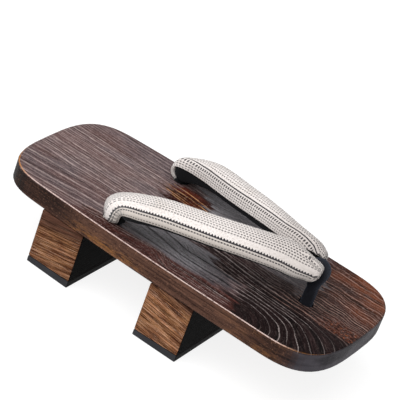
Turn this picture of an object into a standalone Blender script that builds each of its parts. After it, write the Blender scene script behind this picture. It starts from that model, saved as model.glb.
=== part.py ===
"""A geta: a wooden footboard on two wooden teeth with rubber treads, and a padded V strap.

The toe points along +X and the left side of the wearer is +Y. The floor is z = 0, under the
middle of the board. All sizes are in metres.
"""

import math

import bmesh
import bpy
from mathutils import Vector

MM = 0.001
GAP = 0.3 * MM

# Footboard
BOARD_LENGTH = 270 * MM
BOARD_WIDTH = 125 * MM
HEEL_WIDTH = 112.5 * MM
WIDEST_X = 40 * MM
BOARD_THICKNESS = 15 * MM
BOARD_TOP = 58.5 * MM
TOE_ROUNDING_LENGTH = 46.5 * MM
TOE_ROUNDING_POWER = 3.1
HEEL_ROUNDING_LENGTH = 41 * MM
HEEL_ROUNDING_POWER = 3.3
BOARD_EDGE_EASING = 1.2 * MM
OUTLINE_STEPS = 56

# Teeth and their treads
FRONT_TOOTH_X = (5 * MM, 41 * MM)
REAR_TOOTH_X = (-90 * MM, -53.5 * MM)
TOOTH_EDGE_EASING = 0.8 * MM
PAD_HEEL_SIDE = 4.5 * MM
PAD_TOE_SIDE = 5.5 * MM
PAD_EDGE_EASING = 0.6 * MM
TOOTH_SIDE_STEPS = 4

# Strap holes. The toe hole is off the middle, towards the big toe of a left foot.
TOE_HOLE_X = 90.5 * MM
TOE_HOLE_OFFSET = 2.5 * MM
TOE_HOLE_RADIUS = 5.3 * MM
HEEL_HOLE_X = -46.5 * MM
HEEL_HOLE_SPREAD = 44 * MM
HEEL_HOLE_RADIUS = 6 * MM
HOLE_MOUTH_FLARE = 0.4 * MM
ROUND_STEPS = 32

# Strap. Each row is a section across one arm, from its knot under the board to its front end, in
# millimetres and degrees. out is from the strap's middle line and rise is above the board. crown
# is the padding's height over the section's two edges, lip how far it hangs below them, dish how
# much the underside between them is hollowed, and lean how far the crown's top lies towards the
# inner edge. tilt drops the outer edge, and turn swings it towards the toe.
STRAP_COLUMNS = ("along", "out", "rise", "width", "crown", "lip", "dish", "lean", "tilt", "turn")
STRAP_ROWS = (
    (-46.5, 44.0, -22.5, 4.0, 2.0, 2.0, 0.0, 0.0, 0, 50),
    (-46.5, 44.0, -21.5, 10.0, 5.0, 5.0, 0.0, 0.0, 0, 50),
    (-46.5, 44.0, -19.0, 13.0, 6.5, 6.5, 0.0, 0.0, 0, 50),
    (-46.5, 44.0, -16.8, 12.0, 6.0, 6.0, 0.0, 0.0, 0, 50),
    (-46.5, 44.0, -15.0, 11.2, 5.6, 5.6, 0.0, 0.0, 0, 50),
    (-46.5, 44.0, -5.0, 11.2, 5.6, 5.6, 0.0, 0.0, 0, 50),
    (-46.5, 44.0, 0.2, 11.2, 5.6, 5.6, 0.0, 0.0, 0, 50),
    (-46.6, 44.6, 2.2, 16.0, 6.0, 3.6, 0.8, 0.5, 0, 51),
    (-46.8, 45.4, 5.6, 20.4, 6.0, 3.0, 2.0, 3.0, 0, 51),
    (-44.8, 46.6, 10.0, 22.8, 5.6, 3.2, 3.0, 5.5, 0, 43),
    (-40.0, 47.6, 13.4, 24.0, 7.0, 3.6, 4.0, 6.0, 0, 31),
    (-33.0, 47.2, 15.4, 24.2, 9.2, 4.0, 5.4, 5.6, 0, 23),
    (-25.0, 44.6, 16.2, 23.6, 11.4, 4.4, 6.4, 4.6, 0, 19),
    (-10.0, 39.2, 18.2, 23.0, 12.8, 4.4, 6.8, 3.8, 0, 18),
    (8.0, 33.3, 20.4, 23.0, 12.6, 4.4, 6.8, 3.6, 1, 18),
    (25.0, 28.0, 22.8, 22.8, 12.2, 4.4, 6.4, 3.6, 3, 18),
    (42.0, 21.9, 25.2, 22.4, 11.2, 4.2, 5.6, 3.4, 12, 20),
    (56.0, 16.7, 26.6, 21.8, 10.8, 4.0, 4.6, 3.2, 19, 21),
    (68.0, 13.0, 28.0, 21.4, 10.4, 3.8, 3.0, 3.6, 30, 20),
    (75.5, 11.2, 28.4, 20.4, 8.8, 4.0, 1.8, 4.2, 39, 17),
    (82.0, 9.6, 28.2, 20.0, 6.8, 4.2, 0.4, 3.2, 51, 14),
    (87.6, 8.6, 27.6, 19.0, 5.2, 4.2, 0.0, 1.0, 61, 11),
    (91.8, 7.7, 26.6, 16.4, 4.0, 3.8, 0.0, 0.0, 67, 10),
    (94.6, 7.2, 26.2, 10.4, 2.6, 2.4, 0.0, 0.0, 69, 10),
    (95.4, 7.0, 26.2, 3.6, 1.0, 1.0, 0.0, 0.0, 69, 10),
)
STRAP_STEPS_BETWEEN_ROWS = 2
SECTION_POINTS = 22
CROSSING_X = 87 * MM
CROSSING_RISE = 25.8 * MM
CROSSING_LENGTH = 11 * MM
CROSSING_HEIGHT = 8.8 * MM
CROSSING_HALF_SPAN = 10 * MM

# Toe thong. Each row is a section of the flattened loop, in millimetres, rise above the board.
LOOP_COLUMNS = ("along", "rise", "width", "thickness")
LOOP_ROWS = (
    (92.4, 13.5, 9.2, 5.0),
    (93.8, 20.0, 9.4, 5.0),
    (94.4, 26.0, 9.6, 5.0),
    (93.6, 30.0, 9.4, 5.0),
    (89.8, 32.2, 8.6, 5.0),
    (84.8, 32.2, 6.6, 5.0),
    (80.4, 30.4, 4.8, 4.6),
    (78.8, 26.0, 4.4, 4.4),
    (80.2, 21.2, 5.2, 4.6),
    (84.0, 17.4, 7.2, 5.0),
    (88.6, 13.4, 9.0, 5.0),
)
LOOP_STEPS_BETWEEN_ROWS = 3
LOOP_SECTION_POINTS = 16
STEM_COLUMNS = ("rise", "radius")
STEM_ROWS = (
    (-23.0, 2.0),
    (-22.0, 4.6),
    (-19.0, 7.0),
    (-16.6, 6.4),
    (-15.2, 5.0),
    (0.0, 5.0),
    (10.0, 5.0),
    (15.0, 4.6),
    (18.0, 2.6),
)

DARK_WOOD = (0.075, 0.040, 0.028, 1.0)
TOOTH_WOOD = (0.230, 0.105, 0.040, 1.0)
BLACK_RUBBER = (0.020, 0.020, 0.021, 1.0)
CREAM_KNIT = (0.720, 0.660, 0.560, 1.0)
BLACK_VELVET = (0.012, 0.012, 0.015, 1.0)


def remove_everything():
    for obj in list(bpy.data.objects):
        bpy.data.objects.remove(obj)


def material(name, colour, roughness):
    finish = bpy.data.materials.new(name)
    finish.use_nodes = True
    surface = finish.node_tree.nodes["Principled BSDF"]
    surface.inputs["Base Color"].default_value = colour
    surface.inputs["Roughness"].default_value = roughness
    surface.inputs["Metallic"].default_value = 0.0
    return finish


def new_object(name, mesh_in_progress, finish=None):
    """Closes a bmesh into an object whose faces point outwards."""
    bmesh.ops.recalc_face_normals(mesh_in_progress, faces=mesh_in_progress.faces)
    mesh = bpy.data.meshes.new(name)
    mesh_in_progress.to_mesh(mesh)
    mesh_in_progress.free()
    obj = bpy.data.objects.new(name, mesh)
    bpy.context.scene.collection.objects.link(obj)
    if finish:
        mesh.materials.append(finish)
    return obj


def smooth_shading(obj, sharp_degrees):
    obj.data.shade_smooth()
    obj.data.set_sharp_from_angle(angle=math.radians(sharp_degrees))


def hide_as_cutter(obj):
    obj.hide_render = True
    obj.display_type = "WIRE"
    return obj


def boolean(obj, other, operation):
    change = obj.modifiers.new(operation.title() + " " + other.name, "BOOLEAN")
    change.operation = operation
    change.object = other


def ease_edges(obj, width):
    easing = obj.modifiers.new("Eased edges", "BEVEL")
    easing.width = width
    easing.segments = 2
    easing.limit_method = "ANGLE"
    easing.angle_limit = math.radians(50)


def bridge_rings(rings, closed=False, capped=True):
    """Joins rings of points, each with as many points, into one skin."""
    shell = bmesh.new()
    loops = [[shell.verts.new(point) for point in ring] for ring in rings]
    pairs = list(zip(loops, loops[1:]))
    if closed:
        pairs.append((loops[-1], loops[0]))
    for first, second in pairs:
        for i in range(len(first)):
            j = (i + 1) % len(first)
            shell.faces.new((first[i], first[j], second[j], second[i]))
    if capped and not closed:
        shell.faces.new(loops[0])
        shell.faces.new(loops[-1])
    return shell


def spline_value(before, start, end, after, t):
    """A smooth curve that passes through start at t = 0 and end at t = 1."""
    return 0.5 * (
        2 * start
        + (end - before) * t
        + (2 * before - 5 * start + 4 * end - after) * t * t
        + (3 * start - before - 3 * end + after) * t * t * t
    )


def rows_between(columns, rows, steps, closed=False):
    """The table's rows as dictionaries, with smooth rows added between them."""
    count = len(rows)
    spans = count if closed else count - 1
    result = []
    for span in range(spans):
        if closed:
            four = [rows[(span + k) % count] for k in (-1, 0, 1, 2)]
        else:
            four = [rows[min(max(span + k, 0), count - 1)] for k in (-1, 0, 1, 2)]
        for step in range(steps):
            values = [spline_value(*column, step / steps) for column in zip(*four)]
            result.append(dict(zip(columns, values)))
    if not closed:
        result.append(dict(zip(columns, rows[-1])))
    return result


def end_rounding(distance_from_start, length, power):
    """1 along the board, falling to 0 at its end as a superellipse."""
    u = min(max(distance_from_start / length, 0.0), 1.0)
    return (1 - u**power) ** (1 / power)


def half_width(x):
    """Half the board's width at a place along it."""
    towards_heel = max(WIDEST_X - x, 0.0) / (WIDEST_X + BOARD_LENGTH / 2)
    side = BOARD_WIDTH / 2 - (BOARD_WIDTH - HEEL_WIDTH) / 2 * towards_heel**2
    toe_start = BOARD_LENGTH / 2 - TOE_ROUNDING_LENGTH
    heel_start = BOARD_LENGTH / 2 - HEEL_ROUNDING_LENGTH
    toe = end_rounding(x - toe_start, TOE_ROUNDING_LENGTH, TOE_ROUNDING_POWER)
    heel = end_rounding(-x - heel_start, HEEL_ROUNDING_LENGTH, HEEL_ROUNDING_POWER)
    return side * toe * heel


def board_ring(z, inset):
    """The board's outline at one height, drawn in by inset."""
    shrink_x = 1 - inset / (BOARD_LENGTH / 2)
    shrink_y = 1 - inset / (BOARD_WIDTH / 2)
    ring = []
    for side in (-1, 1):
        for i in range(OUTLINE_STEPS):
            x = side * BOARD_LENGTH / 2 * math.cos(math.pi * i / OUTLINE_STEPS)
            ring.append((x * shrink_x, side * half_width(x) * shrink_y, z))
    return ring


def board_bottom():
    return BOARD_TOP - BOARD_THICKNESS


def hole_places():
    """Each strap hole's centre and radius."""
    return {
        "toe": ((TOE_HOLE_X, -TOE_HOLE_OFFSET), TOE_HOLE_RADIUS),
        "heel_left": ((HEEL_HOLE_X, HEEL_HOLE_SPREAD), HEEL_HOLE_RADIUS),
        "heel_right": ((HEEL_HOLE_X, -HEEL_HOLE_SPREAD), HEEL_HOLE_RADIUS),
    }


def circle(centre, radius, z):
    angles = [2 * math.pi * i / ROUND_STEPS for i in range(ROUND_STEPS)]
    return [(centre[0] + radius * math.cos(a), centre[1] + radius * math.sin(a), z) for a in angles]


def hole_cutter(name, centre, radius):
    """A drill's path through the board, with a slight flare at both mouths."""
    flare = HOLE_MOUTH_FLARE
    top = BOARD_TOP
    bottom = board_bottom()
    levels = (
        (bottom - flare, radius + 2 * flare),
        (bottom + flare, radius),
        (top - flare, radius),
        (top + flare, radius + 2 * flare),
    )
    rings = [circle(centre, r, z) for z, r in levels]
    return hide_as_cutter(new_object("drill_" + name, bridge_rings(rings)))


def make_deck(finish):
    easing = BOARD_EDGE_EASING
    bottom = board_bottom()
    corner = easing * (1 - math.sqrt(0.5))
    levels = (
        (bottom, easing),
        (bottom + corner, corner),
        (bottom + easing, 0.0),
        (BOARD_TOP - easing, 0.0),
        (BOARD_TOP - corner, corner),
        (BOARD_TOP, easing),
    )
    deck = new_object("deck", bridge_rings([board_ring(z, inset) for z, inset in levels]), finish)
    for name, (centre, radius) in hole_places().items():
        boolean(deck, hole_cutter(name, centre, radius), "DIFFERENCE")
    smooth_shading(deck, 30)
    return deck


def pad_height(x, span):
    """The tread's thickness, which grows from its heel side to its toe side."""
    share = (x - span[0]) / (span[1] - span[0])
    return PAD_HEEL_SIDE + (PAD_TOE_SIDE - PAD_HEEL_SIDE) * share


def cross_block(name, span, floor_of, ceiling_of, easing, finish):
    """A block from side to side of the board, between two heights that may slope."""
    xs = [span[0] + (span[1] - span[0]) * i / TOOTH_SIDE_STEPS for i in range(TOOTH_SIDE_STEPS + 1)]
    outline = [(x, -half_width(x)) for x in xs] + [(x, half_width(x)) for x in reversed(xs)]
    rings = [[(x, y, height_of(x)) for x, y in outline] for height_of in (floor_of, ceiling_of)]
    block = new_object(name, bridge_rings(rings), finish)
    ease_edges(block, easing)
    return block


def make_tooth(name, span, finish):
    return cross_block(
        name,
        span,
        lambda x: pad_height(x, span),
        lambda x: board_bottom() - GAP,
        TOOTH_EDGE_EASING,
        finish,
    )


def make_pad(name, span, finish):
    return cross_block(
        name,
        span,
        lambda x: 0.0,
        lambda x: pad_height(x, span) - GAP,
        PAD_EDGE_EASING,
        finish,
    )


def strap_middle(x):
    """The y of the strap's middle line, which runs from between the heel holes to the toe hole."""
    share = (x - HEEL_HOLE_X) / (TOE_HOLE_X - HEEL_HOLE_X)
    return -TOE_HOLE_OFFSET * min(max(share, 0.0), 1.0)


def strap_section(row):
    """Points of one section as (across, up) pairs, outwards and upwards positive."""
    points = []
    flattened = min(max(row["dish"], 0.0), 1.0)
    for i in range(SECTION_POINTS):
        angle = 2 * math.pi * i / SECTION_POINTS
        wide = math.cos(angle)
        lift = math.sin(angle)
        if lift >= 0:
            across = row["width"] / 2 * wide - row["lean"] * lift * lift
            up = row["crown"] * lift
        else:
            side = math.copysign(abs(wide) ** (1 - 0.55 * flattened), wide)
            across = row["width"] / 2 * side
            up = row["dish"] * lift**4 - row["lip"] * (-lift) ** (1 - 0.3 * flattened)
        points.append((across, up))
    return points


def arm_rings(side):
    """The sections of one arm, as rings of points around its path."""
    rows = rows_between(STRAP_COLUMNS, STRAP_ROWS, STRAP_STEPS_BETWEEN_ROWS)
    path = [Vector((row["along"], row["out"], row["rise"])) for row in rows]
    rings = []
    for i, row in enumerate(rows):
        ahead = path[min(i + 1, len(path) - 1)] - path[max(i - 1, 0)]
        ahead.normalize()
        turn = math.radians(row["turn"])
        drop = math.tan(math.radians(row["tilt"]))
        outwards = Vector((math.sin(turn), math.cos(turn), -drop)).normalized()
        upwards = ahead.cross(outwards).normalized()
        ring = []
        for across, up in strap_section(row):
            point = path[i] + outwards * across + upwards * up
            x = point.x * MM
            ring.append((x, strap_middle(x) + side * point.y * MM, BOARD_TOP + point.z * MM))
        rings.append(ring)
    return rings


def crossing_rings():
    """The pinched stretch of strap that passes through the toe thong's loop."""
    rings = []
    for share in (-1, 1):
        y = strap_middle(CROSSING_X) + share * CROSSING_HALF_SPAN
        ring = []
        for i in range(ROUND_STEPS):
            angle = 2 * math.pi * i / ROUND_STEPS
            x = CROSSING_X + CROSSING_LENGTH / 2 * math.cos(angle)
            z = BOARD_TOP + CROSSING_RISE + CROSSING_HEIGHT / 2 * math.sin(angle)
            ring.append((x, y, z))
        rings.append(ring)
    return rings


def loop_rings(grow):
    """The toe thong's loop, as flattened sections along a closed path, grown by a clearance."""
    rows = rows_between(LOOP_COLUMNS, LOOP_ROWS, LOOP_STEPS_BETWEEN_ROWS, closed=True)
    path = [Vector((row["along"], 0.0, row["rise"])) * MM for row in rows]
    rings = []
    for i, row in enumerate(rows):
        ahead = path[(i + 1) % len(path)] - path[i - 1]
        ahead.normalize()
        sideways = Vector((0.0, 1.0, 0.0))
        outwards = sideways.cross(ahead)
        middle = path[i] + Vector((0.0, -TOE_HOLE_OFFSET, BOARD_TOP))
        ring = []
        for k in range(LOOP_SECTION_POINTS):
            angle = 2 * math.pi * k / LOOP_SECTION_POINTS
            wide = math.copysign(abs(math.cos(angle)) ** 0.7, math.cos(angle))
            thick = math.copysign(abs(math.sin(angle)) ** 0.7, math.sin(angle))
            across = sideways * wide * (row["width"] * MM / 2 + grow)
            ring.append(middle + across + outwards * thick * (row["thickness"] * MM / 2 + grow))
        rings.append(ring)
    return rings


def stem_rings(grow):
    """The thong's two legs pressed together, from the knot under the board to the loop."""
    centre = (TOE_HOLE_X, -TOE_HOLE_OFFSET)
    rows = rows_between(STEM_COLUMNS, STEM_ROWS, 1)
    return [circle(centre, row["radius"] * MM + grow, BOARD_TOP + row["rise"] * MM) for row in rows]


def make_thong(name, grow, finish=None):
    loop = new_object(name, bridge_rings(loop_rings(grow), closed=True), finish)
    stem = hide_as_cutter(new_object(name + "_stem", bridge_rings(stem_rings(grow))))
    boolean(loop, stem, "UNION")
    smooth_shading(loop, 60)
    return loop


def make_strap(finish):
    strap = new_object("strap", bridge_rings(arm_rings(1)), finish)
    right_arm = hide_as_cutter(new_object("right_arm", bridge_rings(arm_rings(-1))))
    crossing = hide_as_cutter(new_object("crossing", bridge_rings(crossing_rings())))
    thong_space = hide_as_cutter(make_thong("thong_space", GAP))
    smooth_shading(right_arm, 60)
    boolean(strap, crossing, "UNION")
    boolean(strap, right_arm, "UNION")
    boolean(strap, thong_space, "DIFFERENCE")
    smooth_shading(strap, 60)
    return strap


def main():
    remove_everything()
    make_deck(material("dark wood", DARK_WOOD, 0.5))
    tooth_wood = material("tooth wood", TOOTH_WOOD, 0.6)
    rubber = material("rubber", BLACK_RUBBER, 0.8)
    make_tooth("front_tooth", FRONT_TOOTH_X, tooth_wood)
    make_tooth("rear_tooth", REAR_TOOTH_X, tooth_wood)
    make_pad("front_pad", FRONT_TOOTH_X, rubber)
    make_pad("rear_pad", REAR_TOOTH_X, rubber)
    make_strap(material("knit", CREAM_KNIT, 0.9))
    make_thong("toe_thong", 0.0, material("velvet", BLACK_VELVET, 0.95))


main()
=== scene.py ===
import math
from collections import namedtuple
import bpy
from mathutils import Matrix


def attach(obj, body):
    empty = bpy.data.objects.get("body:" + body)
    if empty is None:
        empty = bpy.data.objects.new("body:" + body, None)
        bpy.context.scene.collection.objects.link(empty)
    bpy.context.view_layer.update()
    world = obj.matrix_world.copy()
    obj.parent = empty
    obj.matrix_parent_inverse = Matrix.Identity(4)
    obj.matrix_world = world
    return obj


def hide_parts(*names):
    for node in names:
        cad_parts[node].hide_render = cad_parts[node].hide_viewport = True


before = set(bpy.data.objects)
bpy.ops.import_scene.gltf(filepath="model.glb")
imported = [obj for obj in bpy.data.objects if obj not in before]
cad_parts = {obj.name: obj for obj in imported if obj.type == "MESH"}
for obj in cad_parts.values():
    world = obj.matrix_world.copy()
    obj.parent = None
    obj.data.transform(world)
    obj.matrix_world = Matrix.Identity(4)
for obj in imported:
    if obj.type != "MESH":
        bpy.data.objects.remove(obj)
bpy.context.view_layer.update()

from types import SimpleNamespace

import bmesh
import bpy
from mathutils import Matrix, Vector

MM = 0.001

# The board's own sizes, in millimetres, as the model has them
BOARD_TOP = 58.5
BOARD_BOTTOM = 43.5
NEAR_EDGE_Y = -62.0
TOE_HOLE = (90.5, -2.5)
HEEL_HOLE_X = -46.5
HEEL_HOLE_OUT = 44.0


def ramp(value, start, end):
    """How far a plain number has come from start to end, held between 0 and 1."""
    return min(max((value - start) / (end - start), 0.0), 1.0)


# Mixing finishes


def paint(red, green, blue):
    """A colour as a maker picks it from a chart, 0 to 255, turned linear."""
    return tuple((c / 255) ** 2.2 for c in (red, green, blue)) + (1.0,)


class Value:
    """A number or colour that changes over a surface. Arithmetic adds Math nodes."""

    def __init__(self, finish, socket):
        self.finish = finish
        self.socket = socket

    def math(self, operation, *others, clamp=False):
        return self.finish.math(operation, self, *others, clamp=clamp)

    def __add__(self, other):
        return self.math("ADD", other)

    def __sub__(self, other):
        return self.math("SUBTRACT", other)

    def __rsub__(self, other):
        return self.finish.math("SUBTRACT", other, self)

    def __mul__(self, other):
        return self.math("MULTIPLY", other)

    def __truediv__(self, other):
        return self.math("DIVIDE", other)

    __radd__ = __add__
    __rmul__ = __mul__

    def root(self):
        return self.math("SQRT")

    def size(self):
        return self.math("ABSOLUTE")

    def fraction(self):
        """What is left past the last whole number, from 0 to 1."""
        return self.math("FRACT")

    def at_least(self, other):
        return self.math("MAXIMUM", other)

    def share(self):
        """Held between 0 and 1."""
        return self.math("ADD", 0.0, clamp=True)

    def eased(self):
        """A share that starts and ends softly."""
        return self * self * (3.0 - self * 2.0)

    def ridge(self):
        """For a share of a beat: 1 in its middle, falling to 0 at both ends."""
        return 1.0 - (self - 0.5).size() * 2.0

    def rise(self, start, end):
        """0 before start, 1 after end, eased between them. Start may be past end."""
        return self.finish.add(
            "ShaderNodeMapRange",
            {"interpolation_type": "SMOOTHSTEP"},
            {"Value": self, "From Min": start, "From Max": end},
        )

    def band(self, low, high, soft):
        """1 between low and high, falling to 0 over soft outside them."""
        return self.rise(low - soft, low) * self.rise(high + soft, high)


def strongest(values):
    """The largest of several values at each point."""
    largest, *others = values
    for value in others:
        largest = largest.at_least(value)
    return largest


class Finish:
    """A material being mixed. Places on a piece are read in millimetres."""

    def __init__(self, name):
        self.material = bpy.data.materials.new(name)
        self.material.use_nodes = True
        self.nodes = self.material.node_tree.nodes
        self.links = self.material.node_tree.links
        self.surface = self.nodes["Principled BSDF"]

    def add(self, kind, settings=None, values=None, output=0):
        """One node, its settings first and then what goes into its sockets."""
        node = self.nodes.new(kind)
        for name, value in (settings or {}).items():
            if name == "curve":
                self.draw_curve(node.mapping, value)
            else:
                setattr(node, name, value)
        for name, value in (values or {}).items():
            self.feed(node.inputs[name], value)
        return Value(self, node.outputs[output])

    def draw_curve(self, mapping, points):
        curve = mapping.curves[0]
        while len(curve.points) < len(points):
            curve.points.new(0.5, 0.5)
        for point, place in zip(curve.points, points):
            point.location = place
            point.handle_type = "VECTOR"
        mapping.update()

    def feed(self, socket, value):
        if isinstance(value, Value):
            self.links.new(value.socket, socket)
        else:
            socket.default_value = value

    def math(self, operation, *values, clamp=False):
        settings = {"operation": operation, "use_clamp": clamp}
        return self.add("ShaderNodeMath", settings, dict(enumerate(values)))

    def in_millimetres(self, vector):
        values = {0: vector, "Scale": 1.0 / MM}
        return self.split(self.add("ShaderNodeVectorMath", {"operation": "SCALE"}, values))

    def split(self, vector):
        node = self.add("ShaderNodeSeparateXYZ", None, {0: vector}).socket.node
        return [Value(self, socket) for socket in node.outputs]

    def place(self):
        """The point's x, y and z."""
        return self.in_millimetres(self.add("ShaderNodeTexCoord", output="Object"))

    def cloth_place(self, name):
        """The two readings of a piece's own map."""
        return self.in_millimetres(self.add("ShaderNodeUVMap", {"uv_map": name}))[:2]

    def normal(self):
        return self.split(self.add("ShaderNodeNewGeometry", output="Normal"))

    def speckle(self, x, y, z, detail=2.0, roughness=0.5, scale=1.0):
        """Soft noise from 0 to 1. Each reading is multiplied by how fast the noise changes along
        it, and a plain number in its place picks another noise."""
        point = self.add("ShaderNodeCombineXYZ", None, {"X": x, "Y": y, "Z": z})
        values = {"Vector": point, "Scale": scale, "Detail": detail, "Roughness": roughness}
        return self.add("ShaderNodeTexNoise", None, values)

    def mix(self, first, second, share):
        """Between two colours, by share."""
        node = self.nodes.new("ShaderNodeMix")
        node.data_type = "RGBA"
        factor, first_colour, second_colour = node.inputs[0], node.inputs[6], node.inputs[7]
        self.feed(factor, share)
        self.feed(first_colour, first)
        self.feed(second_colour, second)
        return Value(self, node.outputs[2])

    def mix_value(self, first, second, share):
        """Between two numbers, by share."""
        return (second - first) * share + first

    def bump(self, height, distance):
        """Raises the surface by height times distance, in millimetres."""
        values = {"Height": height, "Distance": distance * MM, "Strength": 1.0}
        self.feed(self.surface.inputs["Normal"], self.add("ShaderNodeBump", None, values))

    def set(self, **sockets):
        for name, value in sockets.items():
            self.feed(self.surface.inputs[name.replace("_", " ")], value)


# The board: charred, brushed wood

# Year lines of the board's top as (level, half width, strength). A line's level is its y where it
# runs straight: at x = -100 on the heel, and at x = 65 on the toe.
HEEL_LINES = (
    (56.0, 0.6, 0.4), (52.5, 0.7, 0.6), (49.0, 0.6, 0.5), (46.0, 0.5, 0.4), (43.0, 0.7, 0.6),
    (39.5, 0.6, 0.5), (36.5, 0.6, 0.5), (33.8, 0.5, 0.4), (31.0, 0.8, 0.85), (29.0, 0.5, 0.4),
    (26.8, 0.9, 1.0), (24.0, 0.5, 0.5), (21.4, 0.8, 0.95), (19.0, 0.5, 0.5), (16.6, 0.9, 0.9),
    (14.4, 0.5, 0.4), (12.4, 0.6, 0.6), (10.4, 0.5, 0.4), (8.5, 0.9, 0.9), (5.4, 0.6, 0.5),
    (2.1, 0.9, 1.0), (0.2, 0.5, 0.5), (-2.0, 0.8, 0.9), (-5.0, 0.8, 0.8), (-7.8, 0.6, 0.5),
    (-10.4, 0.9, 1.0), (-12.8, 0.5, 0.4), (-15.0, 0.9, 0.9), (-18.0, 0.6, 0.5), (-21.0, 0.5, 0.4),
    (-25.6, 1.0, 0.95), (-28.6, 0.5, 0.35), (-34.0, 0.9, 0.9), (-38.0, 0.5, 0.4), (-43.0, 1.0, 0.9),
    (-47.0, 0.6, 0.5), (-52.0, 0.9, 0.85), (-55.5, 0.6, 0.5), (-58.0, 0.5, 0.5),
)
TOE_LINES = (
    (56.0, 0.6, 0.6), (51.5, 0.8, 0.9), (48.5, 0.5, 0.4), (45.5, 0.6, 0.5), (42.0, 0.8, 0.9),
    (38.5, 0.5, 0.5), (36.0, 0.5, 0.4), (33.5, 0.8, 1.0), (30.2, 0.6, 0.6), (27.8, 0.5, 0.5),
    (26.0, 0.7, 0.95), (22.6, 0.6, 0.6), (19.5, 0.8, 0.95), (17.0, 0.5, 0.4), (14.6, 0.5, 0.5),
    (12.0, 0.6, 0.7), (9.5, 0.7, 1.0), (7.0, 0.5, 0.7), (4.5, 0.7, 1.0), (2.4, 0.5, 0.7),
    (0.5, 0.7, 1.0), (-2.6, 0.7, 0.9), (-4.8, 0.5, 0.5), (-7.4, 0.6, 0.6), (-10.4, 0.7, 0.8),
    (-14.2, 0.85, 1.0), (-18.5, 0.6, 0.9), (-22.0, 0.6, 0.9), (-24.2, 0.5, 0.8), (-26.6, 0.6, 0.9),
    (-30.4, 0.6, 1.0), (-33.8, 0.55, 0.9), (-37.4, 0.65, 1.0), (-42.2, 0.6, 0.8),
    (-46.4, 0.5, 0.4), (-51.5, 0.6, 0.9), (-53.4, 0.5, 0.8), (-56.6, 0.6, 0.9), (-58.6, 0.5, 0.9),
)
# Dark lines on the grey patch of painted reflection beside the right arm, and light ones on the
# amber patch
SLATE_LINES = (
    (-28.2, 1.0, 1.0), (-33.0, 0.5, 0.35), (-36.6, 1.1, 1.0), (-40.4, 0.5, 0.4),
    (-43.6, 0.9, 0.95),
)
AMBER_LINES = (
    (33.0, 0.45, 0.9), (28.4, 0.6, 1.0), (25.0, 0.3, 0.5), (22.4, 0.5, 0.9), (20.2, 0.4, 0.8),
)
# Each stretch of levels has a curve of its own, with a margin at both ends
FIRST_LEVEL = -60.0
LAST_LEVEL = 60.0
STRETCH = 50.0
STRETCH_MARGIN = 2.0
LINE_SPREAD = 1.35
LEAST_STEP = 0.0005

# From ARC_CENTRE_X on, the toe's lines sweep round a point on the near edge. ARC_STRETCH draws the
# arcs out along the board, and away from the edge they flatten, by ARC_FLATNESS at the most.
ARC_CENTRE_X = 65.0
ARC_STRETCH = 1.5
ARC_FLATNESS = 0.75
FLAT_FROM = 10.0
FLAT_FADE = 52.0
# In the corner of the toe the arcs within FAN_WIDTH of the edge spread out like a fan
FAN_FROM_X = 106.0
FAN_WIDTH = 40.0
FAN_FADE = 30.0
FAN_SPREAD = 0.45
# How fast an eased share changes is EASED_CHANGE * share * (1 - share)
EASED_CHANGE = 6.0


def heel_level(x, y):
    """Straight lines along the heel. Near the wearer's right edge they rise towards the strap."""
    return y - (x + 100.0) * 0.1 * y.rise(-14.0, -25.0)


def toe_level(x, y):
    """The arcs of the toe: their level, and how fast it changes per millimetre there."""
    from_edge = y - NEAR_EDGE_Y
    in_fan = ((FAN_WIDTH - from_edge) / FAN_FADE).share()
    spread = in_fan.eased() * FAN_SPREAD
    beyond = (x - FAN_FROM_X).at_least(0.0)
    past = (x - ARC_CENTRE_X - beyond * spread).at_least(0.0) / ARC_STRETCH
    away = ((from_edge - FLAT_FROM) / FLAT_FADE).share()
    pull = 1.0 - away.eased() * ARC_FLATNESS
    reach = past * pull
    swept = (from_edge * from_edge + reach * reach).root().at_least(0.5)

    change_x = reach * pull / swept / ARC_STRETCH
    change_x = change_x * (1.0 - spread * x.rise(FAN_FROM_X - 1.0, FAN_FROM_X + 1.0))
    pull_change = away * (1.0 - away) * (-ARC_FLATNESS * EASED_CHANGE / FLAT_FADE)
    fan_change = FAN_SPREAD * EASED_CHANGE / FAN_FADE / ARC_STRETCH
    fan_change = in_fan * (1.0 - in_fan) * beyond * pull * fan_change
    change_y = (from_edge + reach * (past * pull_change + fan_change)) / swept
    change = (change_x * change_x + change_y * change_y).root().at_least(0.15)

    before = (ARC_CENTRE_X - x).at_least(0.0)
    level = swept + NEAR_EDGE_Y - before * 0.12 * y.rise(-30.0, -16.0)
    return level, change


def lines_on_curve(finish, table, level, start, span):
    """The strength of a few lines, drawn on one curve over the levels from start."""
    points = [(0.0, 0.0)]
    for centre, half, strength in sorted(table):
        where = (centre - start) / span
        reach = half * LINE_SPREAD / span
        before = max(where - reach, points[-1][0] + LEAST_STEP)
        points += [(before, 0.0), (where, strength), (where + reach, 0.0)]
    points.append((1.0, 0.0))
    share = ((level - start) / span).share()
    return finish.add("ShaderNodeFloatCurve", {"curve": points}, {"Value": share})


def lines_of(finish, table, level):
    """All the lines of a table."""
    drawn = []
    start = FIRST_LEVEL
    span = STRETCH + 2 * STRETCH_MARGIN
    while start < LAST_LEVEL:
        here = [row for row in table if start <= row[0] < start + STRETCH]
        if here:
            drawn.append(lines_on_curve(finish, here, level, start - STRETCH_MARGIN, span))
        start += STRETCH
    return strongest(drawn)


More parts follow.
